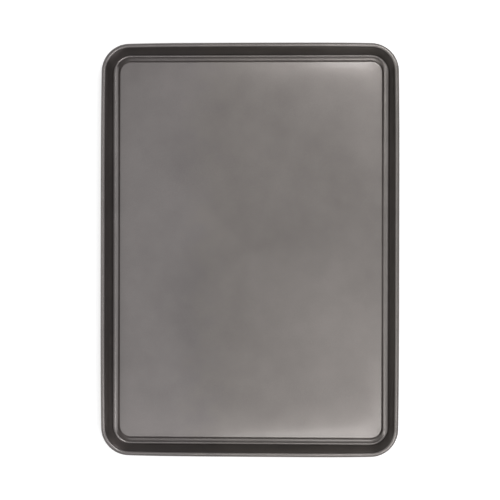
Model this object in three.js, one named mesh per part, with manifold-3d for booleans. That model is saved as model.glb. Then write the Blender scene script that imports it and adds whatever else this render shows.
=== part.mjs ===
// Half-sheet baking pan: one pressed steel sheet with its edge rolled over a stiffening wire.
// Millimetres, +Z up. The long side runs along Y. The origin is under the middle of the pan,
// on the surface that it stands on.
import * as THREE from "three";
import Module from "manifold-3d";

// Driving dimensions
const panLength = 457.2; // over the rim, along Y
const panWidth = 330.2; // over the rim, along X
const panHeight = 25.4; // from the surface under the pan to the top of the rim
const sheetThickness = 0.8;
const panelRise = 1.2; // the middle of the floor stands this much above the gutter round it
const shoulderRadius = 2.0; // upper bend of the step down from the floor, at mid thickness
const troughRadius = 4.0; // lower bend of that step, which runs out into the gutter
const panelCornerRadius = 12.0; // corner of the raised floor, in plan
const gutterWidth = 1.2; // flat part of the gutter, the part that the pan stands on
const footRadius = 4.4; // bend between the gutter and the wall, at mid thickness
const wallLean = 15.0; // degrees that the wall leans outward from upright
const sideBow = 0.8; // how far each side of the rim swells out at its middle
const wireDiameter = 3.0;
const wireClearance = 0.3; // between the wire and the sheet rolled over it
const lipGap = 0.5; // between the cut edge of the roll and the outside of the wall
const wireJointGap = 1.0; // between the two ends of the wire, where they meet

// How finely the curves are divided
const bendFacet = 20.0; // most degrees per facet round a bend, in section
const cornerFacet = 10.0; // most degrees per facet round a corner, in plan
const sideFacet = 70.0; // longest facet along a side, which carries the bow

const lean = THREE.MathUtils.degToRad(wallLean);
const halfSheet = sheetThickness / 2;

function facetsIn(angle, facetDegrees) {
  return Math.ceil(Math.abs(THREE.MathUtils.radToDeg(angle)) / facetDegrees - 1e-6);
}

// The roll: its radius follows from the wire, and it stops short of the wall by the lip gap.
const curlRadius = wireDiameter / 2 + wireClearance + halfSheet;
const curlOuterRadius = curlRadius + halfSheet;
const curlCentreHeight = panHeight - curlOuterRadius;
const lipAngle = Math.acos((curlRadius - halfSheet - lipGap) / curlOuterRadius);
const curlSweep = 2 * Math.PI - lipAngle;

// The step between the floor and the gutter is two bends, one against the other.
const riserAngle = Math.acos(1 - panelRise / (shoulderRadius + troughRadius));

// The wall starts where the foot bend ends and stops where the roll begins.
const footAngle = Math.PI / 2 - lean;
const wallFootHeight = halfSheet + footRadius * (1 - Math.cos(footAngle));
const wallHeadHeight = curlCentreHeight + curlRadius * Math.sin(lean);
const wallLength = (wallHeadHeight - wallFootHeight) / Math.cos(lean);

// Follows the middle of the sheet in section, from the raised floor out to the cut edge of the roll.
// Each stop keeps its place (out from the floor's edge, height), the direction of the food side, and
// its share of the bow: none up to the foot of the wall, all of it from the head of the wall.
class SheetWalk {
  constructor(height) {
    this.place = new THREE.Vector2(0, height);
    this.heading = 0;
    this.bowShare = 0;
    this.stops = [];
    this.stop();
  }

  foodSide() {
    return new THREE.Vector2(-Math.sin(this.heading), Math.cos(this.heading));
  }

  stop() {
    this.stops.push({ place: this.place.clone(), foodSide: this.foodSide(), bowShare: this.bowShare });
  }

  straight(length) {
    const ahead = new THREE.Vector2(Math.cos(this.heading), Math.sin(this.heading));
    this.place.addScaledVector(ahead, length);
    this.stop();
  }

  // A positive angle turns the sheet up, a negative one turns it over and down.
  bend(angle, radius) {
    const steps = facetsIn(angle, bendFacet);
    const reach = Math.sign(angle) * radius;
    const centre = this.place.clone().addScaledVector(this.foodSide(), reach);
    for (let step = 0; step < steps; step += 1) {
      this.heading += angle / steps;
      this.place = centre.clone().addScaledVector(this.foodSide(), -reach);
      this.stop();
    }
    return centre;
  }
}

const sheet = new SheetWalk(halfSheet + panelRise);
sheet.bend(-riserAngle, shoulderRadius);
sheet.bend(riserAngle, troughRadius);
sheet.straight(gutterWidth);
sheet.bend(footAngle, footRadius);
sheet.bowShare = 1;
sheet.straight(wallLength);
const curlCentre = sheet.bend(-curlSweep, curlRadius);

// One closed loop round the sheet in section: out along the food side, back along the other side.
function sheetSection() {
  const skin = (side) =>
    sheet.stops.map(({ place, foodSide, bowShare }) => ({
      place: place.clone().addScaledVector(foodSide, side * halfSheet),
      bowShare,
    }));
  return [...skin(1), ...skin(-1).reverse()];
}

function wireSection() {
  const section = [];
  const wireSides = facetsIn(2 * Math.PI, bendFacet);
  for (let side = 0; side < wireSides; side += 1) {
    const angle = (-2 * Math.PI * side) / wireSides;
    const offset = new THREE.Vector2(Math.cos(angle), Math.sin(angle));
    section.push({ place: curlCentre.clone().addScaledVector(offset, wireDiameter / 2), bowShare: 1 });
  }
  return section;
}

// The plan of the pan: a core rectangle through the corner centres, and stations round it.
// Every station looks outward, and the ones along a side carry a share of the side's bow.
const rimCornerRadius = panelCornerRadius + curlCentre.x + curlOuterRadius;
const core = new THREE.Vector2(panWidth, panLength).divideScalar(2).subScalar(sideBow + rimCornerRadius);

function planStations() {
  const stations = [];
  const cornerSteps = facetsIn(Math.PI / 2, cornerFacet);
  const cornerAt = (turn) => {
    const angle = (turn + 0.5) * (Math.PI / 2);
    return new THREE.Vector2(core.x * Math.sign(Math.cos(angle)), core.y * Math.sign(Math.sin(angle)));
  };
  const lookTowards = (angle) => new THREE.Vector2(Math.cos(angle), Math.sin(angle));
  for (let turn = 0; turn < 4; turn += 1) {
    const corner = cornerAt(turn);
    const nextCorner = cornerAt(turn + 1);
    for (let step = 0; step <= cornerSteps; step += 1) {
      const outward = lookTowards((turn + step / cornerSteps) * (Math.PI / 2));
      stations.push({ anchor: corner, outward, bow: 0 });
    }
    const outward = lookTowards((turn + 1) * (Math.PI / 2));
    const sideSteps = 2 * Math.ceil(corner.distanceTo(nextCorner) / 2 / sideFacet);
    for (let step = 1; step < sideSteps; step += 1) {
      const share = step / sideSteps;
      const bow = sideBow * (1 - (2 * share - 1) ** 4);
      stations.push({ anchor: corner.clone().lerp(nextCorner, share), outward, bow });
    }
  }
  return stations;
}

const stations = planStations();

// Carries a section round the plan. A section that closes on itself makes a ring, and one that
// starts and ends at the floor's edge is closed by a flat face above and another below.
function sweep(section, closesOnItself) {
  const positions = [];
  const triangles = [];
  const count = stations.length;
  for (const { place, bowShare } of section) {
    for (const { anchor, outward, bow } of stations) {
      const point = anchor.clone().addScaledVector(outward, panelCornerRadius + place.x + bow * bowShare);
      positions.push(point.x, point.y, place.y);
    }
  }
  const rows = closesOnItself ? section.length : section.length - 1;
  for (let row = 0; row < rows; row += 1) {
    const inner = row * count;
    const outer = ((row + 1) % section.length) * count;
    for (let here = 0; here < count; here += 1) {
      const next = (here + 1) % count;
      triangles.push(inner + here, outer + here, outer + next);
      triangles.push(inner + here, outer + next, inner + next);
    }
  }
  if (!closesOnItself) {
    const lastRow = (section.length - 1) * count;
    const topMiddle = section.length * count;
    const bottomMiddle = topMiddle + 1;
    positions.push(0, 0, section[0].place.y);
    positions.push(0, 0, section[section.length - 1].place.y);
    for (let here = 0; here < count; here += 1) {
      const next = (here + 1) % count;
      triangles.push(topMiddle, here, next);
      triangles.push(bottomMiddle, lastRow + next, lastRow + here);
    }
  }
  const geometry = new THREE.BufferGeometry();
  geometry.setAttribute("position", new THREE.Float32BufferAttribute(positions, 3));
  geometry.setIndex(triangles);
  geometry.computeVertexNormals();
  return geometry;
}

// The wire is one length bent to the rim. A thin slot at the middle of one long side parts its ends.
const { Manifold, Mesh: SolidMesh } = await Module().then((library) => {
  library.setup();
  return library;
});

function toSolid(geometry) {
  const mesh = new SolidMesh({
    numProp: 3,
    vertProperties: new Float32Array(geometry.getAttribute("position").array),
    triVerts: new Uint32Array(geometry.index.array),
  });
  mesh.merge();
  return new Manifold(mesh);
}

function toGeometry(solid) {
  const mesh = solid.getMesh();
  const geometry = new THREE.BufferGeometry();
  geometry.setAttribute("position", new THREE.Float32BufferAttribute(mesh.vertProperties, 3));
  geometry.setIndex(Array.from(mesh.triVerts));
  geometry.computeVertexNormals();
  return geometry;
}

function wireGeometry() {
  const ring = toSolid(sweep(wireSection(), true));
  const slot = new THREE.BoxGeometry(3 * wireDiameter, wireJointGap, 3 * wireDiameter);
  slot.translate(-(core.x + panelCornerRadius + curlCentre.x + sideBow), 0, curlCentre.y);
  return toGeometry(ring.subtract(toSolid(slot)));
}

const coatedSteel = new THREE.MeshStandardMaterial({ color: 0x7b7674, metalness: 0.8, roughness: 0.42 });
const wireSteel = new THREE.MeshStandardMaterial({ color: 0xb4b6b8, metalness: 1.0, roughness: 0.35 });

const panBody = new THREE.Mesh(sweep(sheetSection(), false), coatedSteel);
panBody.name = "pan_body";

const rimWire = new THREE.Mesh(wireGeometry(), wireSteel);
rimWire.name = "rim_wire";

const pan = new THREE.Group();
pan.name = "sheet_pan";
pan.add(panBody, rimWire);

export default pan;
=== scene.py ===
# Half-sheet baking pan with a dark satin coating, standing on a pale floor and seen from above.
import math

import bpy
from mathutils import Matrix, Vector


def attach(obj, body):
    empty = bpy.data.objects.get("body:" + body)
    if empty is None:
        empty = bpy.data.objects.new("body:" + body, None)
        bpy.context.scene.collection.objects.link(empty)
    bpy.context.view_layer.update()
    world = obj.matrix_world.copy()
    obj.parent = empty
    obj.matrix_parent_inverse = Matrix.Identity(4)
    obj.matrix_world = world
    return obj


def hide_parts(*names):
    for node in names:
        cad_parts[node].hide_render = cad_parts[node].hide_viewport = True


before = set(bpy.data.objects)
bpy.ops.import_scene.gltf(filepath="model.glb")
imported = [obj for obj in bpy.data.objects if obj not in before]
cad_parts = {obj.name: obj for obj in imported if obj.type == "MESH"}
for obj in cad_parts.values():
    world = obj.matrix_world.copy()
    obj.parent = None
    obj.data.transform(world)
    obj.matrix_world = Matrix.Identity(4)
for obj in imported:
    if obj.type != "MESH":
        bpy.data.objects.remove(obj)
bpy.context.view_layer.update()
print("loaded nodes", sorted(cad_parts))

near = 1e-5  # points closer than this are in the same place
smoothAngle = math.radians(35)  # edges sharper than this stay crisp
east = Vector((1, 0, 0))
north = Vector((0, 1, 0))


# small helpers for working in edit mode

def clearSelection():
    if bpy.context.object and bpy.context.object.mode != "OBJECT":
        bpy.ops.object.mode_set(mode="OBJECT")
    bpy.ops.object.select_all(action="DESELECT")


def pick(test):
    # leaves edit mode, selects the points that pass the test, and goes back in
    bpy.ops.object.mode_set(mode="EDIT")
    bpy.ops.mesh.select_mode(type="VERT")
    bpy.ops.mesh.select_all(action="DESELECT")
    bpy.ops.object.mode_set(mode="OBJECT")
    for point in bpy.context.object.data.vertices:
        point.select = test(point.co)
    bpy.ops.object.mode_set(mode="EDIT")


def pull(move):
    bpy.ops.mesh.extrude_region_move(TRANSFORM_OT_translate={"value": move})


def useModifier(kind, **settings):
    bpy.ops.object.mode_set(mode="OBJECT")
    bpy.ops.object.modifier_add(type=kind)
    modifier = bpy.context.object.modifiers[-1]
    for name, setting in settings.items():
        setattr(modifier, name, setting)
    bpy.ops.object.modifier_apply(modifier=modifier.name)


def closeSeams():
    bpy.ops.object.mode_set(mode="EDIT")
    bpy.ops.mesh.select_all(action="SELECT")
    bpy.ops.mesh.remove_doubles(threshold=near)
    bpy.ops.mesh.normals_make_consistent(inside=False)
    bpy.ops.object.mode_set(mode="OBJECT")


def mirrorBothWays():
    useModifier("MIRROR", use_axis=(True, True, False), use_mirror_merge=True, merge_threshold=near)
    closeSeams()


def smooth(share):
    # eases from 0 to 1
    share = min(max(share, 0), 1)
    return share * share * (3 - 2 * share)


# the pressed sheet, in metres; bends are at mid thickness

sheet = dict(
    length=0.4572, width=0.3302, height=0.0254, thickness=0.0008,  # over the rim
    panelRise=0.0012, shoulderRadius=0.002, troughRadius=0.004, panelCorner=0.012,
    gutter=0.0012, footRadius=0.0044, wallLean=math.radians(15), sideBow=0.0008, bowPower=4,
    wire=0.003, clearance=0.0003, lipGap=0.0005,  # the roll
    crownRise=0.0012, crownRun=0.040, crownPower=3,  # the floor's middle
    sideLift=-0.3, endLift=0.5, liftPower=2,  # shares of the step's height
    endFoot=0.0026, endFall=0.60, endPower=1.9, endStep=0.40, endSharp=0.55,  # short ends
    cornerTurn=math.radians(45), cornerPlain=0.85,
    riserSteps=8, gutterSteps=4, footSteps=20, curlSteps=50, cornerSteps=18, panelSteps=3,
    longColumns=12, shortColumns=10, columnPower=1.5, flatEnd=0.0006,
    edgeBreak=0.00012, edgeSegments=2, edgeAngle=math.radians(60),
)

halfSheet = sheet["thickness"] / 2
curlRadius = sheet["wire"] / 2 + sheet["clearance"] + halfSheet
curlOuter = curlRadius + halfSheet
curlSweep = 2 * math.pi - math.acos((curlRadius - halfSheet - sheet["lipGap"]) / curlOuter)
curlCentreHeight = sheet["height"] - curlOuter
riserRadii = sheet["shoulderRadius"] + sheet["troughRadius"]
riserAngle = math.acos(1 - sheet["panelRise"] / riserRadii)
riserRun = riserRadii * math.sin(riserAngle)
footAngle = math.pi / 2 - sheet["wallLean"]
footOut = riserRun + sheet["gutter"] + sheet["footRadius"] * math.sin(footAngle)
wallFoot = halfSheet + sheet["footRadius"] * (1 - math.cos(footAngle))
wallHead = curlCentreHeight + curlRadius * math.sin(sheet["wallLean"])
wallRun = (wallHead - wallFoot) / math.cos(sheet["wallLean"])
wallOut = footOut + wallRun * math.sin(sheet["wallLean"])
curlCentreOut = wallOut + curlRadius * math.cos(sheet["wallLean"])
rimCorner = sheet["panelCorner"] + curlCentreOut + curlOuter
coreX = sheet["width"] / 2 - sheet["sideBow"] - rimCorner
coreY = sheet["length"] / 2 - sheet["sideBow"] - rimCorner

# at the short ends the foot is tighter, so the gutter's lowest line is further out
endLowest = riserRun + sheet["gutter"] + (sheet["footRadius"] - sheet["endFoot"]) * (
    math.sin(footAngle) - (1 - math.cos(footAngle)) * math.tan(sheet["wallLean"]))


class SectionPen:
    # draws the section of the sheet from one point: extrudes it straight, spins it round bends
    def __init__(self, place):
        self.place = Vector(place)
        self.heading = 0.0
        bpy.ops.mesh.primitive_plane_add(size=0.001, location=place)  # any size, it becomes a point
        bpy.ops.object.transform_apply(location=True)
        bpy.ops.object.mode_set(mode="EDIT")
        bpy.ops.mesh.select_mode(type="VERT")
        bpy.ops.mesh.select_all(action="SELECT")
        bpy.ops.mesh.merge(type="CENTER")

    def foodSide(self):
        return Vector((-math.sin(self.heading), 0, math.cos(self.heading)))

    def straight(self, distance):
        move = Vector((math.cos(self.heading), 0, math.sin(self.heading))) * distance
        pull(move)
        self.place += move

    def bend(self, angle, radius, steps):
        reach = math.copysign(radius, angle)
        centre = self.place + self.foodSide() * reach
        bpy.ops.mesh.spin(steps=steps, angle=angle, center=centre, axis=(0, 1, 0))
        self.heading += angle
        self.place = centre - self.foodSide() * reach


def bowAt(share):
    # how far the rim swells out, by the share of the way from a corner to the middle of a side
    return sheet["sideBow"] * (1 - (1 - share) ** sheet["bowPower"])


def columnStops(columns):
    # shares of that way, closer together near the corner
    return [(column / columns) ** sheet["columnPower"] for column in range(columns + 1)]


def carryToMiddle(along, out, distance, core, columns):
    # takes one end of the corner along its side in columns, and swells the upper part as it goes
    def onEdge(co, share):
        # on the newest row of points, outside the core rectangle
        return abs(abs(co.dot(along)) - distance * (1 - share)) < near and co.dot(out) > core - near

    pick(lambda co: onEdge(co, 0))
    stops = columnStops(columns)
    for last, stop in zip(stops, stops[1:]):
        pull(along * distance * (stop - last))
        pick(lambda co: onEdge(co, stop) and co.z > sheet["height"] / 2)
        bpy.ops.transform.translate(value=out * (bowAt(stop) - bowAt(last)))
        pick(lambda co: onEdge(co, stop))


def sweepQuarter():
    # takes a section round one corner and on to the middles of the two sides there
    bpy.ops.mesh.select_all(action="SELECT")
    bpy.ops.mesh.spin(
        steps=sheet["cornerSteps"], angle=math.pi / 2, center=(coreX, coreY, 0), axis=(0, 0, -1))
    carryToMiddle(-north, east, coreY, coreX, sheet["longColumns"])
    carryToMiddle(-east, north, coreX, coreY, sheet["shortColumns"])


def crownFloor():
    # the pressed floor is a hair higher in the middle and eases down towards its edges
    def ease(inside):
        return 1 - (1 - min(max(inside / sheet["crownRun"], 0), 1)) ** sheet["crownPower"]

    bpy.ops.object.mode_set(mode="OBJECT")
    for point in bpy.context.object.data.vertices:
        acrossEdge = coreX + sheet["panelCorner"] - point.co.x
        alongEdge = coreY + sheet["panelCorner"] - point.co.y
        if point.co.z < sheet["height"] / 2 and acrossEdge > 0 and alongEdge > 0:
            point.co.z += sheet["crownRise"] * ease(acrossEdge) * ease(alongEdge)


def endHeight(out, turn):
    # height over the lowest line, by how far out from the floor's edge: step and gutter, foot, wall
    # turn is 90 degrees along a short end, and less in the corners, where the gutter is plainer
    past = out - endLowest
    if past < 0:
        way = out / endLowest
        step = smooth((way / sheet["endStep"]) ** sheet["endSharp"])
        fall = sheet["endFall"] * way ** sheet["endPower"] + (1 - sheet["endFall"]) * step
        plain = smooth((math.pi / 2 - turn) / (math.pi / 2 - sheet["cornerTurn"]))
        fall += sheet["cornerPlain"] * plain * (way - fall)
        return sheet["panelRise"] * (1 + sheet["endLift"]) * (1 - fall)
    if past < sheet["endFoot"] * math.sin(footAngle):
        return sheet["endFoot"] - math.sqrt(sheet["endFoot"] ** 2 - past ** 2)
    return wallFoot - halfSheet - (footOut - out) / math.tan(sheet["wallLean"])


def slopeEnds():
    # the step is lower at the middle of the long sides and higher towards the short ends,
    # where the gutter falls all the way to its foot
    bpy.ops.object.mode_set(mode="OBJECT")
    for point in bpy.context.object.data.vertices:
        across = max(point.co.x - coreX, 0)
        along = max(point.co.y - coreY, 0)
        out = math.hypot(across, along) - sheet["panelCorner"]
        if point.co.z > wallFoot - near:
            continue
        if out < riserRun:
            way = min(point.co.y / (coreY + sheet["panelCorner"]), 1)
            gain = (sheet["endLift"] - sheet["sideLift"]) * way ** sheet["liftPower"]
            point.co.z += (point.co.z - halfSheet) * (sheet["sideLift"] + gain)
        if along > near and out > near:
            turn = math.atan2(along, across)
            share = smooth(turn / sheet["cornerTurn"])
            point.co.z += share * (halfSheet + endHeight(out, turn) - point.co.z)


def makeSheet():
    clearSelection()
    pen = SectionPen((coreX, coreY, halfSheet + sheet["panelRise"]))
    for step in range(sheet["panelSteps"]):
        pen.straight((sheet["panelCorner"] - sheet["flatEnd"]) / sheet["panelSteps"])
    pen.straight(sheet["flatEnd"])
    pen.bend(-riserAngle, sheet["shoulderRadius"], sheet["riserSteps"])
    pen.bend(riserAngle, sheet["troughRadius"], sheet["riserSteps"])
    for step in range(sheet["gutterSteps"]):
        pen.straight(sheet["gutter"] / sheet["gutterSteps"])
    pen.bend(footAngle, sheet["footRadius"], sheet["footSteps"])
    pen.straight(sheet["flatEnd"])
    pen.straight(wallRun - 2 * sheet["flatEnd"])
    pen.straight(sheet["flatEnd"])
    pen.bend(-curlSweep, curlRadius, sheet["curlSteps"])
    sweepQuarter()

    # the flat middle of the floor, out of the inner edge of the long side
    pick(lambda co: abs(co.x - coreX) < near and co.y < coreY + near)
    stops = columnStops(sheet["shortColumns"])
    for last, stop in zip(stops, stops[1:]):
        pull(-east * coreX * (stop - last))
    slopeEnds()
    crownFloor()

    mirrorBothWays()
    useModifier("SOLIDIFY", thickness=sheet["thickness"], offset=0, use_even_offset=True)
    useModifier("BEVEL", width=sheet["edgeBreak"], segments=sheet["edgeSegments"],
                limit_method="ANGLE", angle_limit=sheet["edgeAngle"])
    piece = bpy.context.object
    piece.name = "coated_sheet"
    bpy.ops.object.shade_smooth_by_angle(angle=smoothAngle)
    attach(piece, "root")
    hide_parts("pan_body")
    print("sheet", len(piece.data.vertices), "points")
    return piece


# the wire inside the rolled rim, one length whose ends meet on a long side

wire = dict(sides=24, jointGap=0.001)


def makeWire():
    clearSelection()
    bpy.ops.mesh.primitive_circle_add(
        vertices=wire["sides"], radius=sheet["wire"] / 2, rotation=(math.pi / 2, 0, 0),
        location=(coreX + sheet["panelCorner"] + curlCentreOut, coreY, curlCentreHeight))
    bpy.ops.object.transform_apply(location=True, rotation=True)
    bpy.ops.object.mode_set(mode="EDIT")
    sweepQuarter()
    mirrorBothWays()

    # part the two ends at the middle of one long side: widen the seam, take the band out, cap the ends
    halfGap = wire["jointGap"] / 2
    pick(lambda co: co.x < 0 and abs(co.y) < near)
    bpy.ops.mesh.bevel(offset=halfGap, offset_type="OFFSET", segments=1, affect="EDGES")
    bpy.ops.mesh.delete(type="FACE")
    for end in (-1, 1):
        pick(lambda co: co.x < 0 and abs(co.y - end * halfGap) < near)
        bpy.ops.mesh.edge_face_add()
    closeSeams()
    piece = bpy.context.object
    piece.name = "drawn_wire"
    bpy.ops.object.shade_smooth_by_angle(angle=smoothAngle)
    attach(piece, "root")
    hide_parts("rim_wire")
    print("wire", len(piece.data.vertices), "points")
    return piece


panSheet = makeSheet()
rimWire = makeWire()


# shader maths

class Value:
    # a socket that can stand in a sum; add() makes any node
    def __init__(self, tree, socket=None):
        self.tree = tree
        self.socket = socket

    def add(self, kind, settings=None, sockets=None, out=0):
        node = self.tree.nodes.new(kind)
        for name, setting in (settings or {}).items():
            setattr(node, name, setting)
        for key, given in (sockets or {}).items():
            if isinstance(given, Value):
                self.tree.links.new(given.socket, node.inputs[key])
            else:
                node.inputs[key].default_value = given
        return Value(self.tree, node.outputs[out] if len(node.outputs) else None)

    def maths(self, operation, first, second):
        return self.add("ShaderNodeMath", {"operation": operation}, {0: first, 1: second})

    def __add__(self, other):
        return self.maths("ADD", self, other)

    def __radd__(self, other):
        return self.maths("ADD", other, self)

    def __sub__(self, other):
        return self.maths("SUBTRACT", self, other)

    def __rsub__(self, other):
        return self.maths("SUBTRACT", other, self)

    def __mul__(self, other):
        return self.maths("MULTIPLY", self, other)

    def __rmul__(self, other):
        return self.maths("MULTIPLY", other, self)


def startMaterial(name):
    material = bpy.data.materials.new(name)
    material.use_nodes = True
    material.node_tree.nodes.clear()
    return material, Value(material.node_tree)


def noise(flow, place, size, detail):
    # soft noise from 0 to 1 whose blotches are about size across
    return flow.add("ShaderNodeTexNoise", {"noise_dimensions": "3D"},
                    {"Vector": place, "Scale": 1 / size, "Detail": detail, "Roughness": 0.5}, "Fac")


def swing(value, share):
    # noise about its middle, turned down or up
    return (value - 0.5) * share


def mixColour(flow, factor, first, second):
    return flow.add("ShaderNodeMix", {"data_type": "RGBA"}, {0: factor, 6: first, 7: second}, 2)


def vectorLength(flow, vector):
    return flow.add("ShaderNodeVectorMath", {"operation": "LENGTH"}, {0: vector}, "Value")


def ramp(flow, value, start, end):
    # eases from 0 at start to 1 at end
    return flow.add("ShaderNodeMapRange", {"interpolation_type": "SMOOTHSTEP"},
                    {"Value": value, "From Min": start, "From Max": end}, "Result")


def bumpFrom(flow, height, depth):
    return flow.add("ShaderNodeBump", None, {"Height": height, "Distance": depth, "Strength": 1.0})


def softPatch(flow, place, spot):
    # 1 at the middle of a broad patch, easing to 0 at its edge
    inside = flow.add("ShaderNodeMapping", {"vector_type": "TEXTURE"},
                      {"Vector": place, "Location": spot["place"], "Scale": spot["reach"]})
    return ramp(flow, vectorLength(flow, inside), 1, 0)


# the coating: dark, half glossy, faintly cloudy, with a very fine sprayed grain; one broad pale patch
# on the floor is painted light

coat = dict(
    warmPale=(0.2325, 0.213, 0.202, 1), warmDark=(0.1485, 0.136, 0.129, 1),
    coolPale=(0.2320, 0.213, 0.2085, 1), coolDark=(0.1480, 0.136, 0.1330, 1),
    coolTo=-0.080, warmFrom=-0.030, ragged=0.10,
    cloudSize=0.07, cloudDetail=3, cloudShare=0.69, cloudRoughness=0.05,
    mistSize=0.022, mistDetail=2, mistShare=0.37,
    grainSize=0.0004, grainDetail=2, grainShare=1.2, grainRoughness=0.12, grainHeight=0.000008,
    patches=[
        dict(place=(-0.066, -0.080, 0), reach=(0.045, 0.125, 1), shade=-0.30),
        dict(place=(-0.145, -0.190, 0), reach=(0.060, 0.075, 1), shade=0.45),
        # painted light: this pale patch brightens the lower right of the floor, where the south box's
        # glow spreads
        dict(place=(0.085, -0.085, 0), reach=(0.100, 0.110, 1), shade=0.33),
    ],
    metal=1.0, roughness=0.34, edgeTint=(0.26, 0.26, 0.26, 1), gloss=0.5, glossRoughness=0.11,
)


def coatMaterial():
    material, flow = startMaterial("nonstick_coat")
    place = flow.add("ShaderNodeTexCoord", out="Object")
    cloud = noise(flow, place, coat["cloudSize"], coat["cloudDetail"])
    mist = noise(flow, place, coat["mistSize"], coat["mistDetail"])
    grain = noise(flow, place, coat["grainSize"], coat["grainDetail"])
    tone = 0.5 + swing(cloud, coat["cloudShare"]) + swing(mist, coat["mistShare"])
    tone = tone + swing(grain, coat["grainShare"])
    # the patches raise or lower the tone; the pale one on the lower right is a painted glow
    for spot in coat["patches"]:
        tone = tone + softPatch(flow, place, spot) * spot["shade"]
    across = flow.add("ShaderNodeSeparateXYZ", None, {0: place}, "X")
    warmth = ramp(flow, across + swing(mist, coat["ragged"]), coat["coolTo"], coat["warmFrom"])
    cool = mixColour(flow, tone, coat["coolDark"], coat["coolPale"])
    warm = mixColour(flow, tone, coat["warmDark"], coat["warmPale"])
    rough = coat["roughness"] + swing(cloud, coat["cloudRoughness"])
    rough = rough + swing(grain, coat["grainRoughness"])
    shader = flow.add("ShaderNodeBsdfPrincipled", None, {
        "Base Color": mixColour(flow, warmth, cool, warm), "Roughness": rough,
        "Metallic": coat["metal"], "Specular Tint": coat["edgeTint"],
        "Normal": bumpFrom(flow, grain, coat["grainHeight"]),
        "Coat Weight": coat["gloss"], "Coat Roughness": coat["glossRoughness"]})
    flow.add("ShaderNodeOutputMaterial", None, {"Surface": shader})
    return material


# the wire: bare drawn steel, with draw lines along it and patches of a duller grey

wireFinish = dict(
    pale=(0.50, 0.50, 0.51, 1), dark=(0.36, 0.355, 0.35, 1), patchSize=0.006, patchDetail=4,
    lineSize=0.00025, lineDetail=2, lineShare=0.6, lineHeight=0.000006,
    metal=1.0, roughness=0.32, lineRoughness=0.16,
)


def alongRim(flow, place):
    # distance out from the core rectangle and height, so that a pattern runs in lines along the rim
    def vectorMaths(operation, first, second=(0, 0, 0)):
        return flow.add("ShaderNodeVectorMath", {"operation": operation}, {0: first, 1: second})

    beyond = vectorMaths("SUBTRACT", vectorMaths("ABSOLUTE", place), (coreX, coreY, 0))
    level = vectorMaths("MULTIPLY", vectorMaths("MAXIMUM", beyond), (1, 1, 0))
    height = flow.add("ShaderNodeSeparateXYZ", None, {0: place}, "Z")
    return flow.add("ShaderNodeCombineXYZ", None, {"X": vectorLength(flow, level), "Y": height})


def wireMaterial():
    material, flow = startMaterial("drawn_steel")
    place = flow.add("ShaderNodeTexCoord", out="Object")
    lines = noise(flow, alongRim(flow, place), wireFinish["lineSize"], wireFinish["lineDetail"])
    patch = noise(flow, place, wireFinish["patchSize"], wireFinish["patchDetail"])
    tone = patch + swing(lines, wireFinish["lineShare"])
    shader = flow.add("ShaderNodeBsdfPrincipled", None, {
        "Base Color": mixColour(flow, tone, wireFinish["dark"], wireFinish["pale"]),
        "Roughness": wireFinish["roughness"] + swing(lines, wireFinish["lineRoughness"]),
        "Metallic": wireFinish["metal"],
        "Normal": bumpFrom(flow, lines, wireFinish["lineHeight"])})
    flow.add("ShaderNodeOutputMaterial", None, {"Surface": shader})
    return material


panSheet.data.materials.append(coatMaterial())
rimWire.data.materials.append(wireMaterial())
print("materials done")


# the floor: matte, and lifted a little where it is seen, so that it stays pale

ground = dict(
    size=60.0, drop=0.0002, colour=(0.86, 0.86, 0.86, 1), glow=(1, 1, 1, 1), lift=0.5,
)


def makeFloor():
    clearSelection()
    bpy.ops.mesh.primitive_plane_add(size=ground["size"], location=(0, 0, -ground["drop"]))
    floor = bpy.context.object
    floor.name = "pale_floor"
    material, flow = startMaterial("pale_floor")
    direct = flow.add("ShaderNodeLightPath", out="Is Camera Ray")
    glossy = flow.add("ShaderNodeLightPath", out="Is Glossy Ray")
    through = flow.add("ShaderNodeLightPath", out="Is Transmission Ray")
    seen = direct + glossy + through
    matte = flow.add("ShaderNodeBsdfDiffuse", None, {"Color": ground["colour"]})
    glow = flow.add("ShaderNodeEmission", None,
                    {"Color": ground["glow"], "Strength": seen * ground["lift"]})
    both = flow.add("ShaderNodeAddShader", None, {0: matte, 1: glow})
    flow.add("ShaderNodeOutputMaterial", None, {"Surface": both})
    floor.data.materials.append(material)


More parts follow.
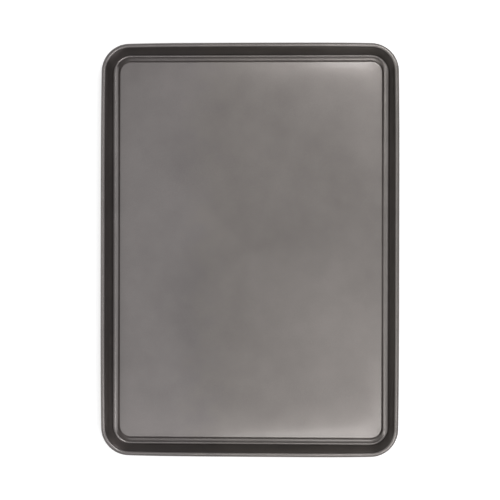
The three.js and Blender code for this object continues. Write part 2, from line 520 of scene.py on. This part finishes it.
makeFloor()
print("floor done")


# light: an even pale room and soft boxes that face the pan

room = dict(colour=(1.0, 1.0, 1.0, 1), strength=0.47)


def makeRoom():
    world = bpy.data.worlds.new("pale_room")
    bpy.context.scene.world = world
    world.use_nodes = True
    world.node_tree.nodes.clear()
    flow = Value(world.node_tree)
    sky = flow.add("ShaderNodeBackground", None,
                   {"Color": room["colour"], "Strength": room["strength"]})
    flow.add("ShaderNodeOutputWorld", None, {"Surface": sky})


softBoxes = dict(
    overhead=dict(place=(-0.7, -0.2, 2.9), size=(1.4, 0.9), power=2.6),
    north=dict(place=(0.3, 0.64, 1.5), size=(0.4, 0.45), power=4.4),
    south=dict(place=(0.3, -0.57, 1.5), size=(0.8, 0.45), power=4.4),
    west=dict(place=(-1.4, 0.0, 1.5), size=(0.6, 0.6), power=2.5),
    northEast=dict(place=(0.93, 0.99, 1.42), size=(0.9, 0.3), power=5.0),
    southEast=dict(place=(0.93, -0.99, 1.42), size=(0.9, 0.3), power=5.0),
)


def makeSoftBoxes():
    for name, box in softBoxes.items():
        light = bpy.data.lights.new(name, "AREA")
        light.shape = "RECTANGLE"
        light.size, light.size_y = box["size"]
        light.energy = box["power"]
        holder = bpy.data.objects.new(name, light)
        holder.location = box["place"]
        holder.rotation_euler = (-Vector(box["place"])).to_track_quat("-Z", "Y").to_euler()
        bpy.context.scene.collection.objects.link(holder)


makeRoom()
makeSoftBoxes()
print("lights done")

bpy.context.scene.view_settings.view_transform = "Standard"


# the camera, turned by degrees from straight down

camera = dict(place=(0.1249, 0.0123, 2.4), turn=(-0.294, 2.994, 0.105), lens=155.3, sensor=36)


def makeCamera():
    lens = bpy.data.cameras.new("overhead_camera")
    lens.lens = camera["lens"]
    lens.sensor_width = camera["sensor"]
    holder = bpy.data.objects.new("overhead_camera", lens)
    holder.location = camera["place"]
    holder.rotation_euler = [math.radians(angle) for angle in camera["turn"]]
    bpy.context.scene.collection.objects.link(holder)
    bpy.context.scene.camera = holder


makeCamera()
print("camera done")
